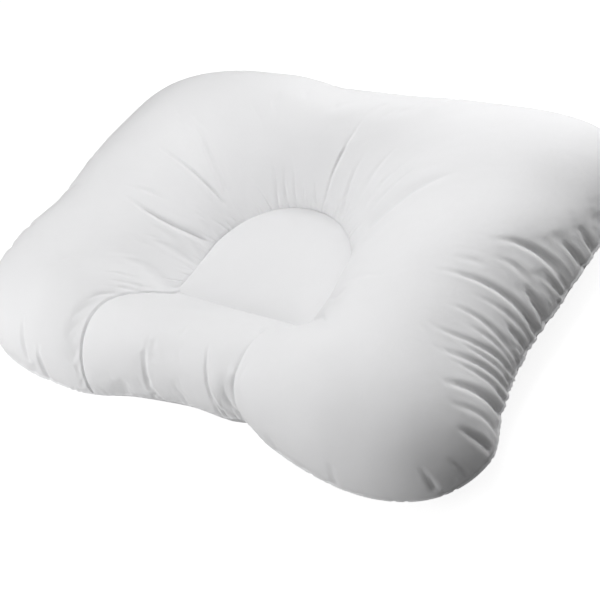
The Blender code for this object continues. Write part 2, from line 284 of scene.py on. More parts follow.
def along(share):
    """Plan positions at a share of the way from the edge seam (0) to the pad seam (1)."""
    side = np.stack([-WAY[:, 1], WAY[:, 0]], 1) / WAY_LENGTH[:, None]
    share = np.broadcast_to(share, SPOKES)
    lift = BOW * 4 * share * (1 - share)
    return EDGE + WAY * share[:, None] - side * lift[:, None]


def top_panel():
    """Rings from the pad seam up to the crest, and down to the edge seam."""
    rings = []
    for turn in np.linspace(math.pi / 2, 0, INNER_RINGS + 1):
        share = CREST_AT + (1 - CREST_AT) * math.sin(turn)
        height = PAD_SEAM_Z + (CREST_Z - PAD_SEAM_Z) * max(math.cos(turn), 0) ** FOOT
        rings.append(raised(along(share), height))
    for turn in np.linspace(1, 0, OUTER_RINGS + 1)[1:] ** CROWDING * math.pi / 2:
        share = CREST_AT * (1 - math.cos(turn))
        height = SEAM_Z + (CREST_Z - SEAM_Z) * math.sin(turn) ** OUTER_POWER
        rings.append(raised(along(share), height))
    return rings


TOP = np.array(top_panel())
print("top panel:", len(TOP), "rings of", SPOKES, "points")

# %% Rings of the head pad
# share: how far out the ring lies. every: how many spokes apart its points are.
Ring = namedtuple("Ring", "share every")
PAD_RINGS = (
    Ring(0.08, 16), Ring(0.17, 16), Ring(0.26, 8), Ring(0.35, 8), Ring(0.44, 4), Ring(0.52, 4),
    Ring(0.60, 4), Ring(0.67, 4), Ring(0.73, 2), Ring(0.79, 2), Ring(0.84, 2), Ring(0.88, 2),
    Ring(0.915, 2), Ring(0.94, 2), Ring(0.96, 1), Ring(0.975, 1), Ring(0.985, 1), Ring(0.993, 1),
)
PAD_RISE_OVER = 14 * MM
PAD_CROWN = 2.5 * MM
PAD_MIDDLE = np.array([0.0, (PAD_NEAR_Y + PAD_FAR_Y) / 2])
PAD_REACH = np.hypot(*(PAD - PAD_MIDDLE).T)


def pad_disc():
    """Rings of the head pad: a low dome that turns down quickly to its seam."""
    rings = []
    for row in PAD_RINGS:
        inset = (1 - row.share) * PAD_REACH[:: row.every]
        plan = PAD_MIDDLE + (PAD[:: row.every] - PAD_MIDDLE) * row.share
        sunk = DIP[:: row.every] * np.exp(-inset / PAD_RISE_OVER)
        rings.append(raised(plan, PAD_TOP_Z - sunk + PAD_CROWN * (1 - row.share**2)))
    return rings


PAD_DISC = pad_disc()
print("head pad:", len(PAD_DISC), "rings")

# %% Rings underneath
UNDER_RINGS = 14
UNDER_ROUND = 58 * MM
UNDER_ROUND_SHARE = 0.32
UNDER_START_TURN = 0.5
UNDER_CHANNEL_UP = 7 * MM
UNDER_CHANNEL_SIDE = 14 * MM
UNDER_FLAT = (Ring(0.90, 1), Ring(0.75, 2), Ring(0.55, 2), Ring(0.35, 4), Ring(0.17, 4))
UNDER_CHANNEL = (
    Ring(1.17, 4), Ring(1.12, 4), Ring(1.08, 4), Ring(1.05, 4), Ring(1.02, 4), Ring(1.0, 4),
    Ring(0.98, 4), Ring(0.95, 4), Ring(0.92, 4), Ring(0.87, 4), Ring(0.80, 4), Ring(0.66, 8),
    Ring(0.50, 8), Ring(0.34, 16), Ring(0.17, 16),
)


def under_panel():
    """Rings from the edge seam, round to where the cloth lies flat."""
    reach = np.minimum(UNDER_ROUND / WAY_LENGTH, UNDER_ROUND_SHARE)
    rings = []
    first = UNDER_START_TURN
    for out in np.linspace(0, 1, UNDER_RINGS + 1)[1:] ** CROWDING:
        turn = first + (math.pi / 2 - first) * out
        height = SEAM_Z * (1 - math.sin(turn)) / (1 - math.sin(first))
        rings.append(raised(along(reach * (1 - math.cos(turn) / math.cos(first))), height))
    return rings


def under_middle(last_round):
    """Rings of the flat underside and of the channel where the pad's seam pulls it up."""
    rings = []
    start = PAD_MIDDLE + (PAD - PAD_MIDDLE) * UNDER_CHANNEL[0].share
    for row in UNDER_FLAT:
        plan = start + (last_round[:, :2] - start) * row.share
        rings.append(raised(plan[:: row.every], 0.0))
    for row in UNDER_CHANNEL:
        off = np.abs(1 - row.share) * PAD_REACH[:: row.every] / UNDER_CHANNEL_SIDE
        height = UNDER_CHANNEL_UP * np.cos(np.minimum(off, 1) * math.pi / 2) ** 2
        rings.append(raised((PAD_MIDDLE + (PAD - PAD_MIDDLE) * row.share)[:: row.every], height))
    return rings


UNDER = under_panel()
BOTTOM = under_middle(UNDER[-1])
print("underneath:", len(UNDER), "rings on the round side,", len(BOTTOM), "on the flat and the channel")

# %% [markdown]
# ## One closed cover
#
# Sewn up, the two panels are one skin with no opening, so the cover is one closed mesh: faces from each
# ring to the next, and a point to close the first and the last. A Subdivision Surface modifier over a
# coarse cage would be quicker to write, but it rounds the seams off with everything else. Here each ring
# stays where it was placed.

# %% Faces from ring to ring
RINGS = PAD_DISC + list(TOP) + UNDER + BOTTOM
FIRST_TOP = sum(len(ring) for ring in PAD_DISC)
LAST_TOP = FIRST_TOP + len(TOP) * SPOKES
LAST_UNDER = LAST_TOP + len(UNDER) * SPOKES


def faces_between(a, b, first_a, first_b):
    """Faces between two rings, where one may have half as many points as the other."""
    if a < b:
        return [face[::-1] for face in faces_between(b, a, first_b, first_a)]
    if a == b:
        k = np.arange(a)
        j = (k + 1) % a
        return np.stack([first_a + k, first_b + k, first_b + j, first_a + j], 1).tolist()
    k = np.arange(b)
    j, mid = (k + 1) % b, first_a + 2 * k + 1
    after = first_a + (2 * k + 2) % a
    faces = np.concatenate(
        [
            np.stack([first_a + 2 * k, first_b + k, mid], 1),
            np.stack([mid, first_b + k, first_b + j], 1),
            np.stack([mid, first_b + j, after], 1),
        ]
    )
    return faces.tolist()


def closed_mesh(name, rings):
    """A closed mesh through the rings, with a point in the middle of the first and the last."""
    starts = np.cumsum([0] + [len(ring) for ring in rings])
    faces = []
    for one, two, first, second in zip(rings, rings[1:], starts, starts[1:]):
        faces += faces_between(len(one), len(two), int(first), int(second))
    tips = [ring.mean(axis=0) for ring in (rings[0], rings[-1])]
    total = int(starts[-1])
    count = len(rings[0])
    faces += [(total, k, (k + 1) % count) for k in range(count)]
    count, first = len(rings[-1]), int(starts[-2])
    faces += [(total + 1, first + (k + 1) % count, first + k) for k in range(count)]
    mesh = bpy.data.meshes.new(name)
    mesh.from_pydata(np.concatenate(rings + [np.array(tips)]), [], faces)
    mesh.validate()
    mesh.shade_smooth()
    return mesh


def points_of(mesh, what="co"):
    """The points of a mesh, or another vector that each of them has."""
    values = np.empty(len(mesh.vertices) * 3, np.float32)
    mesh.vertices.foreach_get(what, values)
    return values.reshape(-1, 3).astype(float)


def move_points(mesh, points):
    """Puts the points of a mesh in new places."""
    mesh.vertices.foreach_set("co", points.astype(np.float32).ravel())
    mesh.update()


cover = closed_mesh("cover", RINGS)
print("cover:", len(cover.vertices), "points,", len(cover.polygons), "faces")

# %% [markdown]
# ## Where each point lies on the cloth
#
# Gathers and seams are easiest to place on the cloth itself: so far from the edge seam, so far from the
# pad seam, and so far round. These distances are measured along the rings and spokes once, and every
# later step reads them.

# %% Distances along the cloth
FAR_OFF = 1.0


def run_along(line):
    """How far round each point of a closed line lies."""
    steps = np.hypot(*(np.roll(line, -1, axis=0) - line).T)
    return np.append(0, np.cumsum(steps)[:-1]), steps.sum()


EDGE_RUN, EDGE_ROUND = run_along(EDGE)
PAD_RUN, PAD_ROUND = run_along(PAD)

top_steps = np.linalg.norm(np.diff(TOP, axis=0), axis=2)
top_from_pad = np.concatenate([np.zeros((1, SPOKES)), np.cumsum(top_steps, axis=0)])
top_from_edge = top_from_pad[-1] - top_from_pad
under_steps = np.linalg.norm(np.diff(np.array([TOP[-1]] + UNDER), axis=0), axis=2)
under_from_edge = np.cumsum(under_steps, axis=0)

POINTS = len(cover.vertices)
from_edge = np.full(POINTS, FAR_OFF)
from_edge[FIRST_TOP:LAST_TOP] = top_from_edge.ravel()
from_edge[LAST_TOP:LAST_UNDER] = under_from_edge.ravel()
from_pad = np.full(POINTS, FAR_OFF)
from_pad[FIRST_TOP:LAST_TOP] = top_from_pad.ravel()
edge_at = np.zeros(POINTS)
edge_at[FIRST_TOP:LAST_UNDER] = np.tile(EDGE_RUN, len(TOP) + len(UNDER))
pad_at = np.zeros(POINTS)
pad_at[FIRST_TOP:LAST_TOP] = np.tile(PAD_RUN, len(TOP))
print("edge seam", round(EDGE_ROUND / MM), "mm, pad seam", round(PAD_ROUND / MM), "mm")

# %% [markdown]
# ## Creases
#
# The filling pushes the cloth out, the seams hold it in, and between them it folds. A real crease is a
# sharp valley with a soft swelling on each side, not a round ditch. Each main crease is a row here: it
# runs in plan from (x1, y1) to (x2, y2), bows sideways, and ends either open at a seam (full depth) or
# faded out. One that ends open at the edge runs on down to the seam and dies away just past it, where
# the stitching holds it nearly shut. A simulation finds folds of its own, but never these ones, so they
# are listed one by one.

# %% Main creases
# All in mm. bow: how far the middle stands off a straight line, to the left of its direction.
# reach: half the width. depth: of the valley. ends: the share of the depth left at (x2, y2).
Crease = namedtuple("Crease", "name x1 y1 x2 y2 bow reach depth ends")
CREASES = (
    Crease("far left, long", -172, 54, -85, 32, 2, 5, 2.6, 0.5),
    Crease("far left, upper", -145, 94, -87, 42, 0, 7, 2.0, 0.5),
    Crease("left, long", -161, -15, -84, -11, -8, 7, 3.6, 0.6),
    Crease("left, upper", -165, -7, -126, 0, 3, 7, 2.0, 0.0),
    Crease("corner fan 1", -128, -103, -102, -89, 2, 3, 1.4, 0.0),
    Crease("corner fan 2", -121, -110, -95, -91, 0, 3, 1.5, 0.0),
    Crease("corner fan 3", -118, -119, -82, -93, 3, 3, 2.0, 0.8),
    Crease("corner fan 4", -121, -133, -88, -108, 3, 3, 1.7, 0.3),
    Crease("corner fan 5", -122, -141, -106, -116, 1, 3, 1.5, 0.0),
    Crease("arch 1", -44, 84, -37, 58, 1, 4, 1.5, 0.5),
    Crease("arch 2", -29, 84, -28, 60, 0, 4, 1.3, 0.5),
    Crease("arch 3", -17, 82, -17, 63, 0, 3.5, 1.1, 0.4),
    Crease("arch 4", -6, 76, -7, 63, 0, 3, 0.9, 0.3),
    Crease("arch 5", 8, 78, 8, 63, 0, 3, 0.9, 0.3),
    Crease("far right, long", 55, 139, 21, 66, 3, 4, 1.0, 0.6),
    Crease("far right, short", 58, 92, 44, 55, 0, 4.5, 2.0, 0.6),
    Crease("right fan 1", 94, 104, 70, 67, -2, 4.5, 1.5, 0.3),
    Crease("right fan 2", 113, 90, 82, 59, -3, 5, 1.4, 0.3),
    Crease("right fan 3", 130, 84, 91, 51, -2, 5, 1.4, 0.3),
    Crease("right, long", 174, 78, 92, 35, -1, 16, 6.0, 0.5),
    Crease("right, low", 167, -43, 120, -40, 0, 8, 1.6, 0.2),
    Crease("right, lowest", 129, -47, 98, -52, 0, 6, 1.5, 0.2),
    Crease("roll 1", -35, -136, -33, -180, 1, 3.4, 2.3, 1.0),
    Crease("roll 1 foot", -35, -168, -24, -187, -3, 3.4, 1.8, 1.0),
    Crease("roll 1 branch", -46, -178, -35, -186, -1, 3, 0.6, 1.0),
    Crease("roll 2", 2, -129, -2, -146, 0, 5, 1.0, 0.0),
    Crease("roll 3", 33, -140, 45, -179, -1, 3.6, 2.0, 1.0),
    Crease("roll 3 foot", 42, -168, 54, -182, -2, 3.4, 1.8, 1.0),
    Crease("roll end", 78, -119, 71, -168, -1, 6, 1.1, 1.0),
    Crease("roll end foot", 71, -155, 66, -180, 1, 5, 0.8, 1.0),
    Crease("lobe by the roll", 118, -139, 128, -160, 1, 6, 1.0, 0.0),
    Crease("left lobe 1", -184, -170, -178, -200, 0, 5, 3.2, 0.4),
    Crease("left lobe 2", -156, -190, -160, -206, 0, 5, 3.2, 1.0),
    Crease("side 1", 240, 19, 289, 31, 5, 6, 3.6, 1.0),
    Crease("side 1 inner", 252, 29, 288, 37, 0, 4, 2.0, 1.0),
    Crease("side 1 branch", 247, 4, 274, 6, 3, 6, 2.0, 0.0),
    Crease("side 2", 213, -29, 287, -19, 4, 5.5, 3.6, 1.0),
    Crease("side 2 upper", 220, -13, 243, -6, 2, 6, 1.4, 0.0),
    Crease("side 3", 234, -56, 286, -55, 5, 5, 2.7, 1.0),
    Crease("side 4", 232, -80, 286, -62, -3, 5, 3.1, 1.0),
    Crease("side 5", 242, -97, 286, -79, -1, 5, 3.1, 1.0),
    Crease("side 6", 259, -120, 290, -100, -1, 7, 4.7, 1.0),
    Crease("side 2 lower", 246, -36, 286, -30, 2, 4, 2.0, 1.0),
    Crease("side 3 lower", 252, -64, 286, -59, 2, 4, 2.0, 1.0),
    Crease("side 4 lower", 252, -80, 286, -71, -2, 4, 2.2, 1.0),
    Crease("side 5 lower", 256, -99, 287, -88, -1, 4, 2.0, 1.0),
    Crease("side 6 lower", 268, -132, 293, -119, -1, 5, 2.0, 0.8),
    Crease("tuck 1", 281, 55, 294, 58, -1, 6, 3.2, 1.0),
    Crease("tuck 2", 273, 1, 286, -5, -2, 7, 4.0, 1.0),
    Crease("tuck 3", 286, 78, 296, 75, -1, 5, 3.0, 1.0),
    Crease("tuck 4", 272, -37, 282, -37, -2, 6, 3.0, 1.0),
    Crease("tuck 5", 278, 23, 291, 25, -3, 5, 3.0, 1.0),
    Crease("near corner 1", 280, -143, 296, -138, -1, 6, 2.8, 0.8),
    Crease("near corner 2", 262, -180, 271, -184, 0, 5, 2.0, 0.8),
    Crease("near corner 3", 277, -165, 288, -163, 0, 5, 1.8, 0.8),
    Crease("near lobe", 191, -200, 188, -208, 0, 5, 1.8, 0.8),
    Crease("left side 1", -236, 36, -288, 28, 2, 9, 4.4, 1.0),
    Crease("left side 2", -226, -18, -287, -25, -3, 10, 5.0, 1.0),
    Crease("left side 3", -240, -78, -290, -70, 2, 9, 4.4, 1.0),
    Crease("left side 4", -250, -104, -291, -98, 2, 9, 4.0, 1.0),
    Crease("far edge 1", -18, 168, -24, 197, 2, 7, 2.6, 1.0),
    Crease("far edge 2", 46, 166, 52, 198, -2, 7, 3.0, 1.0),
    Crease("far edge 3", 118, 166, 128, 203, 2, 7, 2.4, 1.0),
)
print(len(CREASES), "main creases")

# %% The line of a crease
CREASE_POINTS = 12
NEAR_EDGE = 15 * MM
HIGH_ABOVE = 1.0
SHOULDER = 2.6


def valley(off):
    """Depth at a share of the reach: a sharp valley, then a soft swelling, then nothing."""
    off = np.clip(off, 0, 1)
    return (1 - off) ** 2 * (1 - SHOULDER * off)


def laid_line(crease, tree):
    """The crease's line laid on the top of the pillow."""
    start, end = np.array([crease.x1, crease.y1]) * MM, np.array([crease.x2, crease.y2]) * MM
    side = np.array([-(end - start)[1], (end - start)[0]]) / math.hypot(*(end - start))
    line = []
    for t in np.linspace(0, 1, CREASE_POINTS):
        plan = start + (end - start) * t + side * (crease.bow * MM * 4 * t * (1 - t))
        hit = tree.ray_cast(Vector((*plan, HIGH_ABOVE)), Vector((0, 0, -1)))[0]
        if hit is not None:
            line.append(tuple(hit))
    to_edge = np.hypot(*(EDGE - end).T)
    if crease.ends == 1 and to_edge.min() < NEAR_EDGE:
        line.append((*EDGE[to_edge.argmin()], SEAM_Z[to_edge.argmin()]))
    return np.array(line)


def off_line(points, line):
    """How far each point is from a line of points, and how far along the line (0 to 1)."""
    nearest, at = np.full(len(points), np.inf), np.zeros(len(points))
    for k, (a, b) in enumerate(zip(line, line[1:])):
        t = np.clip((points - a) @ (b - a) / ((b - a) @ (b - a)), 0, 1)
        off = np.linalg.norm(points - a - t[:, None] * (b - a), axis=1)
        closer = off < nearest
        nearest[closer] = off[closer]
        at[closer] = (k + t[closer]) / (len(line) - 1)
    return nearest, at


def near_line(points, line, reach):
    """Which points lie in the line's box, grown by the reach."""
    low, high = line.min(axis=0) - reach, line.max(axis=0) + reach
    return np.flatnonzero(((points > low) & (points < high)).all(axis=1))


print("a valley's depth across its reach:", valley(np.linspace(0, 1, 6)).round(2))

# %% Pressing the creases in
# FADE_IN and FADE_OUT are shares of a crease's length, and NARROW is the share of its width at its start.
WIDER = 2.1
NARROW = 0.4
FADE_IN = 0.8
FADE_OUT = 0.45
LEFT_AT_SEAM = 0.45
PAST_SEAM = 22 * MM


def crease_depths(points, tree):
    """How deep the creases lie at every point, measured along the cover's own normals."""
    depth = np.zeros(len(points))
    for crease in CREASES:
        line = laid_line(crease, tree)
        some = near_line(points, line, WIDER * crease.reach * MM)
        some = some[(some >= FIRST_TOP) & (some < LAST_UNDER)]
        off, at = off_line(points[some], line)
        fade = np.minimum(1, at / FADE_IN) * np.minimum(1, crease.ends + (1 - at) / FADE_OUT)
        width = WIDER * crease.reach * MM * (NARROW + (1 - NARROW) * at)
        depth[some] += crease.depth * MM * (fade * (2 - fade)) * valley(off / width)
    above = np.clip(LEFT_AT_SEAM + from_edge / NEAR_EDGE, 0, 1)
    below = LEFT_AT_SEAM * np.clip(1 - from_edge / PAST_SEAM, 0, 1)
    return depth * np.where(np.arange(len(points)) < LAST_TOP, above, below)


def tree_of(mesh):
    """The faces of a mesh as a search tree that rays can hit."""
    return BVHTree.FromPolygons(points_of(mesh).tolist(), [list(p.vertices) for p in mesh.polygons])


blank = points_of(cover)
blank_normals = points_of(cover, "normal")
depths = crease_depths(blank, tree_of(cover))
print("deepest crease:", round(float(depths.max() / MM), 1), "mm")

# %% [markdown]
# ## Filling the cover
#
# Stuffing a cover rounds every panel out and leaves slack cloth that has to fold. Both come from
# Blender's cloth solver. The top panel is its sheet, held at the seams, a little larger than its place,
# with pressure from inside and no gravity. It starts with the listed creases pressed in halfway,
# so its folds form where they should. A coarse sheet, every second ring and spoke, finds the slow waves;
# how far it moved is read back at every point of the fine one, so the seams keep all their detail. The
# move is capped, so the pillow keeps its size, and it is capped lower on the neck roll and along the far
# side, where the real cloth is stretched nearly smooth.

# %% A sheet for the cloth solver
FRAMES = 20
PRESSURE = 4.0
SLACK = 0.008


def quads(rings, count):
    """Faces of a sheet whose rings close on themselves."""
    k = np.arange(count)
    j = (k + 1) % count
    first = np.arange(rings - 1)[:, None] * count
    corners = [first + k, first + count + k, first + count + j, first + j]
    return np.stack(corners, 2).reshape(-1, 4).tolist()


def filled(sheet, held):
    """Where the points of a sheet (rings by spokes) go when the filling presses on it."""
    mesh = bpy.data.meshes.new("sheet")
    mesh.from_pydata(sheet.reshape(-1, 3), [], quads(*sheet.shape[:2]))
    cloth_object = bpy.data.objects.new("sheet", mesh)
    bpy.context.scene.collection.objects.link(cloth_object)
    group = cloth_object.vertex_groups.new(name="held")
    group.add(np.flatnonzero(held.ravel()).tolist(), 1.0, "REPLACE")
    cloth = cloth_object.modifiers.new("cloth", "CLOTH")
    cloth.settings.vertex_group_mass = "held"
    cloth.settings.quality = 6
    cloth.settings.mass = 0.15
    cloth.settings.tension_stiffness = 15
    cloth.settings.compression_stiffness = 15
    cloth.settings.shear_stiffness = 5
    cloth.settings.bending_stiffness = 0.6
    cloth.settings.shrink_min = -SLACK
    cloth.settings.use_pressure = True
    cloth.settings.uniform_pressure_force = PRESSURE
    cloth.settings.effector_weights.gravity = 0
    cloth.point_cache.frame_start, cloth.point_cache.frame_end = 1, FRAMES
    for number in range(1, FRAMES + 1):
        bpy.context.scene.frame_set(number)
    graph = bpy.context.evaluated_depsgraph_get()
    found = points_of(cloth_object.evaluated_get(graph).data).reshape(sheet.shape)
    bpy.data.objects.remove(cloth_object, do_unlink=True)
    bpy.data.meshes.remove(mesh)
    bpy.context.scene.frame_set(1)
    return found


print("the sheet is", round(100 * SLACK, 1), "% larger than its place")

# %% From the coarse sheet to the fine one
def between(values, axis, closed):
    """Doubles a grid of values along one axis, with a smooth value halfway between each two.

    Its four neighbours weigh -1, 9, 9 and -1 sixteenths there, as a cubic through them would.
    """
    values = np.moveaxis(values, axis, 0)
    if closed:
        padded = np.concatenate([values[-1:], values, values[:2]])
    else:
        padded = np.concatenate([values[:1], values, values[-1:]])
    halfway = (9 * (padded[1:-2] + padded[2:-1]) - padded[:-3] - padded[3:]) / 16
    doubled = np.zeros((len(values) + len(halfway), *values.shape[1:]))
    doubled[::2], doubled[1::2] = values, halfway
    return np.moveaxis(doubled, 0, axis)


def spoke_of(place):
    """The spoke at a section, named with its side."""
    name, side = place.rsplit(" ", 1)
    before = sum(row.spokes for row in SECTIONS[: NAMES.index(name)]) * FINER
    return before if side == "right" else (SPOKES - before) % SPOKES


def held_places(rings, count):
    """True where the sheet is sewn: at the pad seam, at the edge seam and along the left roll seam."""
    held = np.zeros((rings, count), bool)
    held[0], held[-1] = True, True
    held[:, spoke_of("roll seam left") // 2] = True
    return held


print("the left roll seam lies along spoke", spoke_of("roll seam left"))

# %% Filling the top panel
SEEDED = 0.5
MOST_MOVE = 4 * MM
TINY = 1e-9

moved = np.zeros((POINTS, 3))
seeds = blank - blank_normals * (SEEDED * depths)[:, None]
sheet = seeds[FIRST_TOP:LAST_TOP].reshape(TOP.shape)[::2, ::2]
coarse = filled(sheet, held_places(*sheet.shape[:2])) - sheet
size = np.linalg.norm(coarse, axis=2, keepdims=True)
most = MOST_MOVE * LOOSE[::2, None]
coarse *= most * np.tanh(size / most) / np.maximum(size, TINY)
moved[FIRST_TOP:LAST_TOP] = between(between(coarse, 1, True), 0, False).reshape(-1, 3)
print("the filling moved the cloth by up to", round(float(size.max() / MM), 1), "mm")

# %% [markdown]
# ## Gathers along the seams
#
# More cloth goes into a seam than the seam is long, so it stands in small gathers: sharp and narrow at
# the stitching, wider and softer further off. They come in zones, because the cloth is fullest where
# the outline draws in. Each gather's own place, length and depth vary a little, from one seeded source
# of chance, so that every run makes the same pillow.

# %% Zones of gathers
# start, stop: places round the pillow as section names with their side. count: how many gathers.
# length, depth and reach in mm.
Zone = namedtuple("Zone", "start stop count length reach depth")
EDGE_ZONES = (
    Zone("near side right", "side tuck start right", 7, 22, 5, 1.3),
    Zone("side tuck start right", "side tuck end right", 24, 34, 5, 2.0),
    Zone("side tuck end right", "far corner side right", 16, 24, 5, 1.6),
    Zone("far corner side right", "far lobe right", 9, 14, 5, 0.8),
    Zone("far lobe right", "far middle right", 14, 20, 6, 1.1),
    Zone("far middle right", "far lobe left", 13, 20, 6, 1.1),
    Zone("far lobe left", "far corner side left", 9, 14, 5, 0.8),
    Zone("far corner side left", "side tuck end left", 15, 24, 5, 1.5),
    Zone("side tuck end left", "side tuck start left", 22, 32, 5, 1.8),
    Zone("side tuck start left", "near side left", 8, 22, 5, 1.3),
    Zone("near side left", "near lobe left", 10, 14, 5, 0.8),
    Zone("near lobe left", "roll seam left", 9, 20, 5, 1.2),
    Zone("roll seam left", "roll middle right", 9, 44, 6, 0.8),
    Zone("roll middle right", "roll seam right", 9, 44, 6, 0.8),
    Zone("roll seam right", "near lobe right", 6, 16, 5, 1.0),
    Zone("near lobe right", "near side right", 10, 14, 5, 0.8),
)
PAD_ZONES = (
    Zone("roll seam right", "side tuck end right", 9, 22, 3.2, 0.7),
    Zone("side tuck end right", "far corner right", 10, 30, 3.4, 1.0),
    Zone("far corner right", "far middle right", 9, 34, 3.4, 1.0),
    Zone("far middle right", "far corner left", 10, 34, 3.4, 1.0),
    Zone("far corner left", "side tuck end left", 9, 28, 3.2, 0.9),
    Zone("side tuck end left", "roll seam left", 10, 22, 3.2, 0.8),
)
print("gathers:", sum(zone.count for zone in EDGE_ZONES + PAD_ZONES))

# %% Laying the gathers
# PLACE_VARIES: where a gather may lie within its own stretch of the seam. The other VARIES are shares of
# the zone's values. LEAN: its slant. NARROW_AT_SEAM: its width at the stitching as a share of its reach,
# and WIDENS: how much is added to that at its far end.
SEED = 20
PLACE_VARIES = (0.15, 0.85)
LENGTH_VARIES = (0.45, 1.5)
REACH_VARIES = (0.7, 1.3)
DEPTH_VARIES = (0.4, 1.4)
LEAN = (-0.35, 0.35)
GATHER_FADE = 1.3
NARROW_AT_SEAM = 0.7
WIDENS = 0.9


def gather_depths(zones, run, whole, at, off_seam, chance):
    """Depth of the gathers along one seam, at every point of the cloth."""
    depth = np.zeros(len(at))
    for zone in zones:
        start, stop = run[spoke_of(zone.start)], run[spoke_of(zone.stop)]
        span = (stop - start) % whole
        places = (np.arange(zone.count) + chance.uniform(*PLACE_VARIES, zone.count)) / zone.count
        for place in places:
            length = zone.length * MM * chance.uniform(*LENGTH_VARIES)
            reach = zone.reach * MM * chance.uniform(*REACH_VARIES)
            deep = zone.depth * MM * chance.uniform(*DEPTH_VARIES)
            lean = chance.uniform(*LEAN)
            some = np.flatnonzero(off_seam < length)
            off = at[some] - (start + span * place) - lean * off_seam[some]
            off = np.abs((off + whole / 2) % whole - whole / 2)
            out = off_seam[some] / length
            wide = reach * (NARROW_AT_SEAM + WIDENS * out)
            depth[some] += deep * (1 - out) ** GATHER_FADE * valley(off / wide)
    return depth


chance = np.random.default_rng(SEED)
depths += gather_depths(EDGE_ZONES, EDGE_RUN, EDGE_ROUND, edge_at, from_edge, chance)
depths += gather_depths(PAD_ZONES, PAD_RUN, PAD_ROUND, pad_at, from_pad, chance)
print("deepest with the gathers:", round(float(depths.max() / MM), 1), "mm")

# %% [markdown]
# ## The seams themselves
#
# The two seams at the ends of the neck roll are sewn down hard: the roll's end swells over the stitching
# on one side and the lobe slopes down to it on the other. The pad's seam is a fine valley. At the edge,
# the two panels are turned right side out, so their seam stands proud as a thin lip.

# %% The roll's two seams
# A soft hollow, with a sharp line of stitches on the left. SEAM_STEP: how many rings apart the points of
# its line are. The rest are shares of the seam's length: it fades over SEAM_FADES at both ends, where
# some is left, and the right one only starts at RIGHT_STARTS.
ROLL_SEAM_DEPTH = {"right": 0.4 * MM, "left": 0.6 * MM}
ROLL_SEAM_REACH = {"roll side": 9 * MM, "lobe side": 12 * MM}
STITCH_DEPTH = {"right": 0, "left": 3.0 * MM}
STITCH_REACH = 1.9 * MM
HOLLOW_POWER = 1.7
SEAM_STEP = 3
SEAM_FADES = 0.15
LEFT_AT_PAD = 0.25
LEFT_AT_EDGE = 0.3
RIGHT_STARTS = 0.1
RIGHT_GROWS_OVER = 0.35


def roll_seam_depths(points):
    """The two curved seams lie along a spoke each."""
    depth = np.zeros(len(points))
    grid = np.arange(FIRST_TOP, LAST_TOP).reshape(len(TOP), SPOKES)
    for end, roll_is in (("right", -1), ("left", 1)):
        spoke = spoke_of("roll seam " + end)
        line = points[grid[:, spoke]]
        some = near_line(points, line, max(ROLL_SEAM_REACH.values()))
        some = some[(some >= FIRST_TOP) & (some < LAST_TOP)]
        off, at = off_line(points[some], line[::SEAM_STEP])
        turned = ((some - FIRST_TOP) % SPOKES - spoke + SPOKES / 2) % SPOKES - SPOKES / 2
        roll_side = np.sign(turned) == roll_is
        reach = np.where(roll_side, *ROLL_SEAM_REACH.values())
        fade = np.minimum(1, LEFT_AT_PAD + at / SEAM_FADES)
        fade *= np.minimum(1, LEFT_AT_EDGE + (1 - at) / SEAM_FADES)
        if end == "right":
            fade *= np.clip((at - RIGHT_STARTS) / RIGHT_GROWS_OVER, 0, 1)
        soft = ROLL_SEAM_DEPTH[end] * np.clip(1 - off / reach, 0, 1) ** HOLLOW_POWER
        sharp = STITCH_DEPTH[end] * np.clip(1 - off / STITCH_REACH, 0, 1)
        depth[some] += (soft + sharp) * fade
    return depth


depths += roll_seam_depths(blank)
print("deepest with the roll's seams:", round(float(depths.max() / MM), 1), "mm")

# %% The pad's seam and the edge seam
# LIP_VALLEY_AT: how far from the seam its valley lies, in lip halves.
PAD_SEAM_SHARE = 0.1
PAD_SEAM_REACH = 4 * MM
LIP_OUT = 1.2 * MM
LIP_HALF = 0.9 * MM
LIP_VALLEY = 0.5 * MM
LIP_VALLEY_AT = 2.4


def lip(off):
    """How far the edge seam stands out, and the shallow valley beside it."""
    off = off / LIP_HALF
    return LIP_OUT * np.exp(-(off**2)) - LIP_VALLEY * np.exp(-((off - LIP_VALLEY_AT) ** 2))


dip_at = np.zeros(POINTS)
dip_at[FIRST_TOP:LAST_TOP] = np.tile(DIP, len(TOP))
depths += PAD_SEAM_SHARE * dip_at * np.clip(1 - from_pad / PAD_SEAM_REACH, 0, 1) ** 2
lip_at = np.zeros(POINTS)
lip_at[FIRST_TOP:LAST_UNDER] = np.tile(LIP_SHARE, len(TOP) + len(UNDER))
depths -= lip_at * lip(from_edge)
print("furthest out now:", round(-float(depths.min() / MM), 1), "mm")

# %% [markdown]
# ## Lumps in the filling
#
# Loose fibre never lies quite even. A slow, smooth noise moves the cloth out or in by a millimetre or
# so, and nowhere near enough to read as a dent. A Displace modifier could do it too, but here the lumps
# join everything else that moves a point along its normal. What lies on the table has none.

# %% Lumps
LUMP_SIZE = 55 * MM
LUMP_HEIGHT = 1.6 * MM


def lumps(points):
    """Smooth noise between about -1 and 1 at each point."""
    return np.array([noise.noise(Vector(point) / LUMP_SIZE) for point in points])


# The last two points close the cover: the middle of the head pad, and the middle of the underside.
pad_tip = POINTS - 2
lies_flat = np.arange(POINTS) >= LAST_UNDER - SPOKES
lies_flat[pad_tip] = False
swell = lumps(blank) * LUMP_HEIGHT * ~lies_flat
finished = blank + moved - blank_normals * (depths - swell)[:, None]
finished[:, 2] = np.maximum(finished[:, 2], 0)
move_points(cover, finished)
print("lumps up to", round(float(swell.max() / MM), 1), "mm")

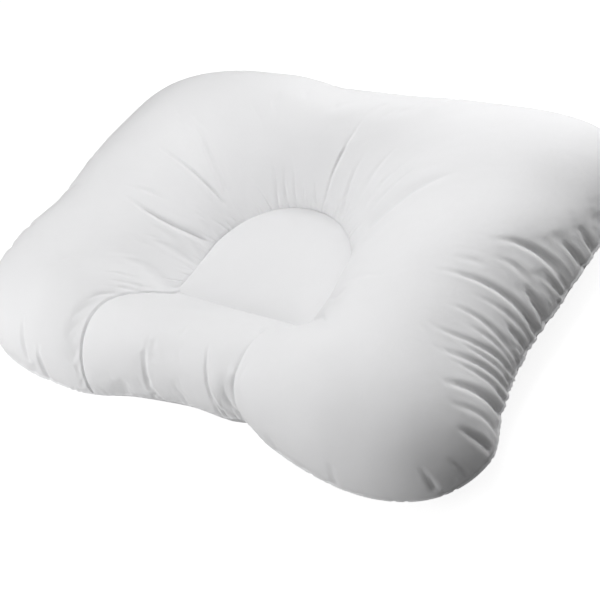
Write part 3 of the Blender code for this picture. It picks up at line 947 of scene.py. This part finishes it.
# %% [markdown]
# ## The cut of the cloth
#
# A weave lies straight on the cloth as it was cut, not on the pillow. So each point keeps the place it
# had on its flat panel, in metres, as a UV map: out from the pad along its spoke for the top panel, and
# out from the flat middle for the underside. The two panels meet at the edge seam, so there each face
# takes its own panel's places.

# %% Places on the flat panels
OUTWARD = -WAY / WAY_LENGTH[:, None]


def flat_places():
    """Each point's place on the top panel, and on the underside panel."""
    top, under = blank[:, :2].copy(), blank[:, :2].copy()
    spread = PAD + OUTWARD * top_from_pad[..., None]
    top[FIRST_TOP:LAST_TOP] = spread.reshape(-1, 2)
    last = UNDER[-1][:, :2]
    arc = np.concatenate([np.zeros((1, SPOKES)), under_from_edge])
    spread = last + OUTWARD * (arc[-1] - arc)[..., None]
    under[LAST_TOP - SPOKES : LAST_UNDER] = spread.reshape(-1, 2)
    return top, under


def add_cut_map(mesh, places):
    """A UV map in metres from the places on the two panels."""
    corner = np.empty(len(mesh.loops), np.int32)
    first = np.empty(len(mesh.polygons), np.int32)
    mesh.loops.foreach_get("vertex_index", corner)
    mesh.polygons.foreach_get("loop_start", first)
    lowest = np.minimum.reduceat(corner, first)
    sides = np.diff(np.append(first, len(corner)))
    is_under = np.repeat(lowest >= LAST_TOP - SPOKES, sides)
    found = np.where(is_under[:, None], places[1][corner], places[0][corner])
    mesh.uv_layers.new(name="cut").uv.foreach_set("vector", found.astype(np.float32).ravel())
    return found


cut = add_cut_map(cover, flat_places())
print("the flat panels reach", (np.ptp(cut, axis=0) / MM).round(), "mm")

# %% [markdown]
# ## In its place
#
# The finished cover becomes an object, and is moved so that the middle of its outline lies over the
# middle of the solid that it stands for. The points are moved, not the object, so its origin stays in
# the frame's own origin.

# %% The pillow
middle = (CAD_LOW + CAD_HIGH) / 2
low, high = points_of(cover).min(axis=0), points_of(cover).max(axis=0)
shift = np.array([*middle[:2], 0]) - [(low[0] + high[0]) / 2, (low[1] + high[1]) / 2, 0]
move_points(cover, points_of(cover) + shift)
pillow = bpy.data.objects.new("stuffed_pillow", cover)
bpy.context.scene.collection.objects.link(pillow)
print("moved by", (shift / MM).round(2), "mm")

# %% [markdown]
# ## Shader helpers
#
# The weave and the mottling are node groups with named sockets, so another cloth could use them with
# its own values. Three short helpers keep the graphs readable: one makes an empty group, and the others
# add a Math node or a noise texture and give back its result.

# %% Node helpers
def new_group(name, inputs, outputs):
    """An empty shader group with float inputs (or vectors, where the default is None)."""
    tree = bpy.data.node_groups.new(name, "ShaderNodeTree")
    for socket, default in inputs.items():
        kind = "NodeSocketVector" if default is None else "NodeSocketFloat"
        made = tree.interface.new_socket(socket, in_out="INPUT", socket_type=kind)
        if default is not None:
            made.default_value = default
    for socket in outputs:
        tree.interface.new_socket(socket, in_out="OUTPUT", socket_type="NodeSocketFloat")
    return tree, tree.nodes.new("NodeGroupInput").outputs, tree.nodes.new("NodeGroupOutput").inputs


def math_of(tree, operation, *values, clamp=False):
    """The result of a Math node on numbers or sockets."""
    node = tree.nodes.new("ShaderNodeMath")
    node.operation, node.use_clamp = operation, clamp
    for socket, value in zip(node.inputs, values):
        if isinstance(value, (int, float)):
            socket.default_value = value
        else:
            tree.links.new(value, socket)
    return node.outputs[0]


def noise_of(tree, vector, scale, detail=2.0, stretch=None):
    """A noise texture's value, with the vector stretched first where that is wanted."""
    if stretch is not None:
        mapping = tree.nodes.new("ShaderNodeMapping")
        mapping.inputs["Scale"].default_value = stretch
        tree.links.new(vector, mapping.inputs["Vector"])
        vector = mapping.outputs["Vector"]
    texture = tree.nodes.new("ShaderNodeTexNoise")
    texture.inputs["Detail"].default_value = detail
    tree.links.new(vector, texture.inputs["Vector"])
    if isinstance(scale, (int, float)):
        texture.inputs["Scale"].default_value = scale
    else:
        tree.links.new(scale, texture.inputs["Scale"])
    return texture.outputs[0]


print("helpers for node groups, Math nodes and noise")

# %% [markdown]
# ## Plain weave
#
# In a plain weave each thread goes over one and under one. Two sines say how far across its thread a
# point is, and the sign of their product says which thread is on top: the parity of a checkerboard,
# but smooth. Yarn is spun unevenly, so stretched noise makes some threads a little fuller.

# %% Plain weave group
WEAVE_PITCH = 0.45 * MM
OVER_UNDER_SHARPNESS = 3.0
YARN_UNEVEN = 0.4
SLUB_ALONG, SLUB_ACROSS = 60, 900
HALF = 0.5

weave, given, results = new_group(
    "plain weave", {"Vector": None, "Pitch": WEAVE_PITCH, "Slub": YARN_UNEVEN}, ("Height", "Shade")
)
split = weave.nodes.new("ShaderNodeSeparateXYZ")
weave.links.new(given["Vector"], split.inputs[0])
sines = []
for axis in ("X", "Y"):
    turns = math_of(weave, "DIVIDE", split.outputs[axis], given["Pitch"])
    sines.append(math_of(weave, "SINE", math_of(weave, "MULTIPLY", turns, math.pi)))
profiles = [math_of(weave, "MULTIPLY", sine, sine) for sine in sines]
over = math_of(weave, "MULTIPLY", math_of(weave, "MULTIPLY", *sines), OVER_UNDER_SHARPNESS)
over = math_of(weave, "MULTIPLY_ADD", over, HALF, HALF, clamp=True)
across = math_of(weave, "MULTIPLY", profiles[1], math_of(weave, "SUBTRACT", 1.0, over))
height = math_of(weave, "MULTIPLY_ADD", profiles[0], over, across)
warp_slub = noise_of(weave, given["Vector"], 1.0, 1.0, (SLUB_ACROSS, SLUB_ALONG, 1))
weft_slub = noise_of(weave, given["Vector"], 1.0, 1.0, (SLUB_ALONG, SLUB_ACROSS, 1))
slub = math_of(weave, "SUBTRACT", math_of(weave, "ADD", warp_slub, weft_slub), 1.0)
slub = math_of(weave, "MULTIPLY", slub, given["Slub"])
weave.links.new(math_of(weave, "ADD", height, slub), results["Height"])
weave.links.new(math_of(weave, "MULTIPLY_ADD", slub, HALF, HALF, clamp=True), results["Shade"])
print("plain weave:", len(weave.nodes), "nodes")

# %% [markdown]
# ## Mottling
#
# No cloth is one even white: bleach, washing and handling leave slow, faint clouds. Two sizes of noise
# make them, and the material decides how far they move its colour and its roughness.

# %% Mottling group
CLOUD_SCALE = 12.0
FINE_TO_BROAD = 6.0
CRUMPLE_DETAIL = 4.0

mottling, given, results = new_group(
    "mottling", {"Vector": None, "Scale": CLOUD_SCALE}, ("Clouds", "Crumple")
)
clouds = noise_of(mottling, given["Vector"], given["Scale"])
finer = math_of(mottling, "MULTIPLY", given["Scale"], FINE_TO_BROAD)
mottling.links.new(clouds, results["Clouds"])
mottling.links.new(noise_of(mottling, given["Vector"], finer, CRUMPLE_DETAIL), results["Crumple"])
print("mottling:", len(mottling.nodes), "nodes")

# %% [markdown]
# ## White cotton
#
# A close plain weave, bleached and matt, with a little fuzz that catches light at a grazing angle. The
# fuzz is the shader's sheen, set on its own socket. Colour and roughness follow the clouds and the
# yarn; the weave and a faint crumple of the cloth are bump, because both are far finer than a face.

# %% Groups and bumps in a material
def group_in(material, tree, vector):
    """A group placed in a material, with a vector linked to it."""
    node = material.node_tree.nodes.new("ShaderNodeGroup")
    node.node_tree = tree
    material.node_tree.links.new(vector, node.inputs["Vector"])
    return node


def bump_of(material, height, distance, under=None):
    """The normal that a bump gives, laid over another bump where there is one."""
    node = material.node_tree.nodes.new("ShaderNodeBump")
    node.inputs["Distance"].default_value = distance
    material.node_tree.links.new(height, node.inputs["Height"])
    if under is not None:
        material.node_tree.links.new(under, node.inputs["Normal"])
    return node.outputs["Normal"]


print("groups to place:", [tree.name for tree in (weave, mottling)])

# %% Cotton
COTTON_LIGHT = (0.83, 0.83, 0.835, 1)
COTTON_DARK = (0.765, 0.765, 0.775, 1)
LIGHT_BY_CLOUDS = 0.6
LIGHT_BY_YARN = 0.6
ROUGH_AT_LEAST = 0.8
ROUGH_BY_CRUMPLE = 0.14
FUZZ = 0.12
FUZZ_ROUGHNESS = 0.5
GLOSS_LEVEL = 0.25
THREAD_HEIGHT = 0.05 * MM
CRUMPLE_HEIGHT = 0.35 * MM


def cotton_material(name, light, dark, pitch, sheen):
    """Cotton with its weave along the cut map."""
    material = bpy.data.materials.new(name)
    material.use_nodes = True
    tree = material.node_tree
    shader = tree.nodes["Principled BSDF"]
    shader.inputs["Sheen Weight"].default_value = sheen
    shader.inputs["Sheen Roughness"].default_value = FUZZ_ROUGHNESS
    shader.inputs["Specular IOR Level"].default_value = GLOSS_LEVEL
    on_cloth = tree.nodes.new("ShaderNodeUVMap")
    on_cloth.uv_map = "cut"
    place = tree.nodes.new("ShaderNodeTexCoord")
    threads = group_in(material, weave, on_cloth.outputs["UV"])
    threads.inputs["Pitch"].default_value = pitch
    clouds = group_in(material, mottling, place.outputs["Object"])
    # Clouds and yarn are both about a half on average, and so is the blend of the two.
    offset = HALF - HALF * (LIGHT_BY_CLOUDS + LIGHT_BY_YARN)
    blend = math_of(tree, "MULTIPLY_ADD", clouds.outputs["Clouds"], LIGHT_BY_CLOUDS, offset)
    blend = math_of(tree, "MULTIPLY_ADD", threads.outputs["Shade"], LIGHT_BY_YARN, blend)
    colour = tree.nodes.new("ShaderNodeMix")
    colour.data_type = "RGBA"
    colour.inputs["A"].default_value, colour.inputs["B"].default_value = dark, light
    tree.links.new(blend, colour.inputs["Factor"])
    tree.links.new(colour.outputs["Result"], shader.inputs["Base Color"])
    crumple = clouds.outputs["Crumple"]
    rough = math_of(tree, "MULTIPLY_ADD", crumple, ROUGH_BY_CRUMPLE, ROUGH_AT_LEAST)
    tree.links.new(rough, shader.inputs["Roughness"])
    crumpled = bump_of(material, crumple, CRUMPLE_HEIGHT)
    woven = bump_of(material, threads.outputs["Height"], THREAD_HEIGHT, crumpled)
    tree.links.new(woven, shader.inputs["Normal"])
    return material


cotton = cotton_material("white_cotton", COTTON_LIGHT, COTTON_DARK, WEAVE_PITCH, FUZZ)
cover.materials.append(cotton)
print("cotton:", len(cotton.node_tree.nodes), "nodes")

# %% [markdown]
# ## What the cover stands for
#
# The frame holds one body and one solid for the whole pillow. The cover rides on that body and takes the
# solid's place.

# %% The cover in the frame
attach(pillow, "root")
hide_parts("pillow")
print(pillow.name, "stands for the pillow's solid")

# %% [markdown]
# ## White paper
#
# The pillow lies on a sheet of white paper that fills the picture. White paper would throw so much light
# back up that the sides lost their shade. So this one reflects like grey paper and glows only for the
# camera, which a Light Path node can tell apart.

# %% Floor
FLOOR_HALF = 6.0
PAPER_GREY = 0.35
PAPER_SEEN = 0.86

corners = [(x * FLOOR_HALF, y * FLOOR_HALF, 0) for x, y in ((-1, -1), (1, -1), (1, 1), (-1, 1))]
floor_mesh = bpy.data.meshes.new("floor")
floor_mesh.from_pydata(corners, [], [(0, 1, 2, 3)])
floor = bpy.data.objects.new("floor", floor_mesh)
bpy.context.scene.collection.objects.link(floor)
paper = bpy.data.materials.new("white_paper")
paper.use_nodes = True
nodes, links = paper.node_tree.nodes, paper.node_tree.links
paper_shader = nodes["Principled BSDF"]
paper_shader.inputs["Base Color"].default_value = (PAPER_GREY, PAPER_GREY, PAPER_GREY, 1)
paper_shader.inputs["Roughness"].default_value = 1.0
seen = nodes.new("ShaderNodeLightPath")
glow = nodes.new("ShaderNodeMath")
glow.operation = "MULTIPLY"
glow.inputs[1].default_value = PAPER_SEEN
paper_shader.inputs["Emission Color"].default_value = (1, 1, 1, 1)
links.new(seen.outputs["Is Camera Ray"], glow.inputs[0])
links.new(glow.outputs["Value"], paper_shader.inputs["Emission Strength"])
floor_mesh.materials.append(paper)
print("paper", 2 * FLOOR_HALF, "m wide")

# %% [markdown]
# ## Soft light
#
# Three strong softboxes stand at the left front and behind the pillow, and a weak one hangs high at the
# right front. That side therefore falls dark and shows its folds, while the top stays nearly white. One
# big dome of light would be simpler, but it fills every fold and leaves no shade.

# %% Light
# azimuth: from +X towards +Y, in degrees, as the elevation. Distances and sizes in metres.
Lamp = namedtuple("Lamp", "name azimuth elevation distance size watts")
LAMPS = (
    Lamp("low left front", 240, 25, 1.1, 0.8, 8.1),
    Lamp("low right back", 60, 25, 1.1, 0.8, 6.2),
    Lamp("high back", 90, 65, 1.1, 0.8, 6.8),
    Lamp("high right front", 300, 65, 1.1, 0.8, 2.1),
)
SURROUND = 0.02
SURROUND_SEEN = 0.86


def place_lamp(lamp):
    """A square softbox that looks at the pillow and stays out of the picture itself."""
    around, up = math.radians(lamp.azimuth), math.radians(lamp.elevation)
    level = math.cos(up)
    towards = Vector((math.cos(around) * level, math.sin(around) * level, math.sin(up)))
    data = bpy.data.lights.new(lamp.name, "AREA")
    data.size, data.energy = lamp.size, lamp.watts
    made = bpy.data.objects.new(lamp.name, data)
    made.location = towards * lamp.distance
    made.rotation_mode = "QUATERNION"
    made.rotation_quaternion = towards.to_track_quat("Z", "Y")
    made.visible_camera = False
    bpy.context.scene.collection.objects.link(made)


for lamp in LAMPS:
    place_lamp(lamp)
world = bpy.data.worlds.new("studio")
world.use_nodes = True
world_seen = world.node_tree.nodes.new("ShaderNodeLightPath")
strength = math_of(
    world.node_tree, "MULTIPLY_ADD", world_seen.outputs["Is Camera Ray"], SURROUND_SEEN, SURROUND
)
world_shader = world.node_tree.nodes["Background"]
world_shader.inputs["Color"].default_value = (1, 1, 1, 1)
world.node_tree.links.new(strength, world_shader.inputs["Strength"])
bpy.context.scene.world = world
print("lamps:", [lamp.name for lamp in LAMPS])

# %% [markdown]
# ## Camera
#
# The picture was taken from the right front, from above, with the camera turned well over to one side.
# Azimuth, elevation and roll say that directly, counted from a view straight at the neck roll. A Track To
# constraint would aim the camera too, but it has no roll. The shift frames the pillow as in the
# photograph.

# %% Camera
AZIMUTH, ELEVATION, ROLL = (math.radians(angle) for angle in (52.4, 41.9, -28.0))
DISTANCE = 1140 * MM
AIM = Vector((-2.2 * MM, -4.0 * MM, 50 * MM))
SENSOR_WIDTH = 36
FOCAL_LENGTH = 69.95
SHIFT_X, SHIFT_Y = 0.0427, -0.083

level = math.cos(ELEVATION)
back = Vector((math.sin(AZIMUTH) * level, -math.cos(AZIMUTH) * level, math.sin(ELEVATION)))
camera_data = bpy.data.cameras.new("camera")
camera_data.sensor_width, camera_data.lens = SENSOR_WIDTH, FOCAL_LENGTH
camera_data.shift_x, camera_data.shift_y = SHIFT_X, SHIFT_Y
camera = bpy.data.objects.new("camera", camera_data)
upright = back.to_track_quat("Z", "Y").to_matrix().to_4x4()
camera.matrix_world = Matrix.Translation(AIM + back * DISTANCE) @ upright @ Matrix.Rotation(ROLL, 4, "Z")
bpy.context.scene.collection.objects.link(camera)
bpy.context.scene.camera = camera
bpy.context.scene.view_settings.view_transform = "Standard"
print("camera at", (np.array(camera.matrix_world.translation) / MM).round(), "mm")
